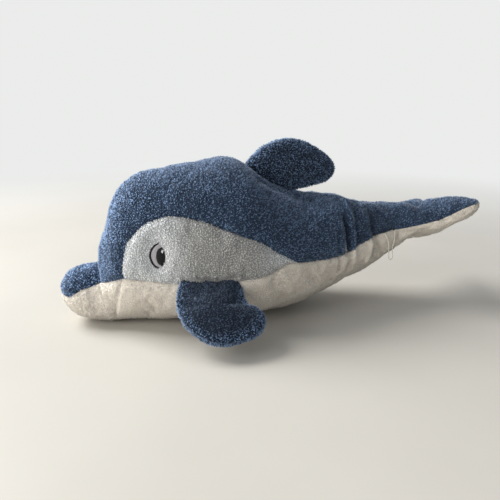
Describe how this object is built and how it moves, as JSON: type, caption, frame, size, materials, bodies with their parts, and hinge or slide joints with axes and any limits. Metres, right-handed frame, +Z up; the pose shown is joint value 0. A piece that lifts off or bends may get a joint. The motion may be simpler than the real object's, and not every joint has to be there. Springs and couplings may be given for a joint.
{
  "type": "plush dolphin",
  "caption": "Soft stuffed dolphin of long-pile plush with a dorsal fin, flippers and flukes, lying on its belly and chin.",
  "frame": {"origin": "middle of the flat patch that the belly rests on", "axes": "+Z up, the snout points to -X and the flukes to +X, the left side is at -Y"},
  "size_m": [0.4816, 0.2752, 0.1994],
  "materials": {
    "blue_plush": "long curled pile",
    "grey_plush": "long curled pile",
    "cream_plush": "short smooth pile",
    "stuffing_fibre": "loose white fibre",
    "black_embroidery": "satin stitch",
    "lilac_embroidery": "satin stitch",
    "white_embroidery": "satin stitch",
    "cream_thread": "twisted thread"
  },
  "bodies": {
    "root": {"back_left": "blue_plush", "back_right": "blue_plush", "snout_top_left": "blue_plush", "snout_top_right": "blue_plush", "face_patch_left": "grey_plush", "face_patch_right": "grey_plush", "belly": "cream_plush", "chin": "cream_plush", "dorsal_fin_left": "blue_plush", "dorsal_fin_right": "blue_plush", "dorsal_fin_stuffing": "stuffing_fibre", "flipper_left_upper": "blue_plush", "flipper_left_lower": "blue_plush", "flipper_left_stuffing": "stuffing_fibre", "flipper_right_upper": "blue_plush", "flipper_right_lower": "blue_plush", "flipper_right_stuffing": "stuffing_fibre", "fluke_top_left": "blue_plush", "fluke_top_right": "blue_plush", "fluke_bottom_left": "cream_plush", "fluke_bottom_right": "cream_plush", "fluke_stuffing": "stuffing_fibre", "body_stuffing": "stuffing_fibre", "eye_outline_left": "black_embroidery", "eye_outline_right": "black_embroidery", "eye_pupil_left": "black_embroidery", "eye_pupil_right": "black_embroidery", "eye_white_left": "lilac_embroidery", "eye_white_right": "lilac_embroidery", "eye_glint_left": "white_embroidery", "eye_glint_right": "white_embroidery", "thread_loop": "cream_thread"}
  },
  "joints": []
}
